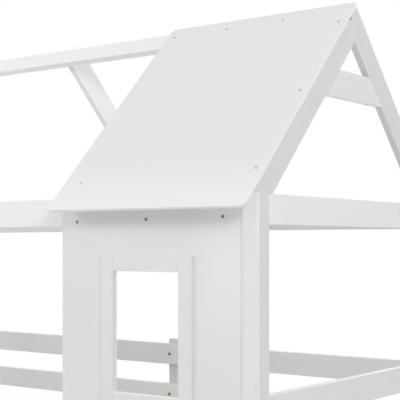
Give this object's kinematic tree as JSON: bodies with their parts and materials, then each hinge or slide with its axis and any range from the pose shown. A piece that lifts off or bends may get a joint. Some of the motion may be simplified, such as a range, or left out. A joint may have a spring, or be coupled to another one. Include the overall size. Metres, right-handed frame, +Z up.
{
  "type": "house bed",
  "caption": "Low child's bed in a house-shaped frame of white boards, with gables, a ridge board, a part roof panel, a wall panel with a window, and guard rails.",
  "frame": {"origin": "on the floor, at the bottom centre of the bed's bounding box", "axes": "+X along the bed to the gable end with the roof panel, -Y to the open front, +Z up"},
  "size_m": [2.1, 1.0452, 1.5465],
  "materials": {
    "painted_wood": "white satin paint on planed softwood boards",
    "painted_panel": "white satin paint on thin wood-fibre board",
    "slat_wood": "bare planed softwood",
    "tape": "woven webbing",
    "glide": "moulded plastic",
    "fastener": "zinc-plated steel"
  },
  "bodies": {
    "root": {"barrel_nuts": "fastener", "base_rail_left": "painted_wood", "base_rail_right": "painted_wood", "bed_bolts": "fastener", "collar_tie_left": "painted_wood", "collar_tie_right": "painted_wood", "eave_beam_back": "painted_wood", "eave_beam_front": "painted_wood", "floor_glides": "glide", "guard_batten": "painted_wood", "guard_bolts": "fastener", "guard_nuts": "fastener", "guard_rail_back_lower": "painted_wood", "guard_rail_back_upper": "painted_wood", "guard_rail_lower_left": "painted_wood", "guard_rail_lower_right": "painted_wood", "guard_rail_upper_left": "painted_wood", "guard_rail_upper_right": "painted_wood", "post_back_left": "painted_wood", "post_back_right": "painted_wood", "post_front_left": "painted_wood", "post_front_right": "painted_wood", "rafter_back_left": "painted_wood", "rafter_back_middle": "painted_wood", "rafter_back_right": "painted_wood", "rafter_front_left": "painted_wood", "rafter_front_panel": "painted_wood", "rafter_front_right": "painted_wood", "ridge_board": "painted_wood", "ridge_bolts": "fastener", "roof_panel": "painted_panel", "side_rail_back": "painted_wood", "side_rail_front": "painted_wood", "slat_01": "slat_wood", "slat_02": "slat_wood", "slat_03": "slat_wood", "slat_04": "slat_wood", "slat_05": "slat_wood", "slat_06": "slat_wood", "slat_07": "slat_wood", "slat_08": "slat_wood", "slat_09": "slat_wood", "slat_10": "slat_wood", "slat_11": "slat_wood", "slat_12": "slat_wood", "slat_13": "slat_wood", "slat_14": "slat_wood", "slat_ledge_back": "painted_wood", "slat_ledge_front": "painted_wood", "slat_tape_back": "tape", "slat_tape_front": "tape", "top_rail_left": "painted_wood", "top_rail_right": "painted_wood", "wall_panel": "painted_panel", "window_trim_bottom": "painted_panel", "window_trim_left": "painted_panel", "window_trim_right": "painted_panel", "window_trim_top": "painted_panel"}
  },
  "joints": []
}
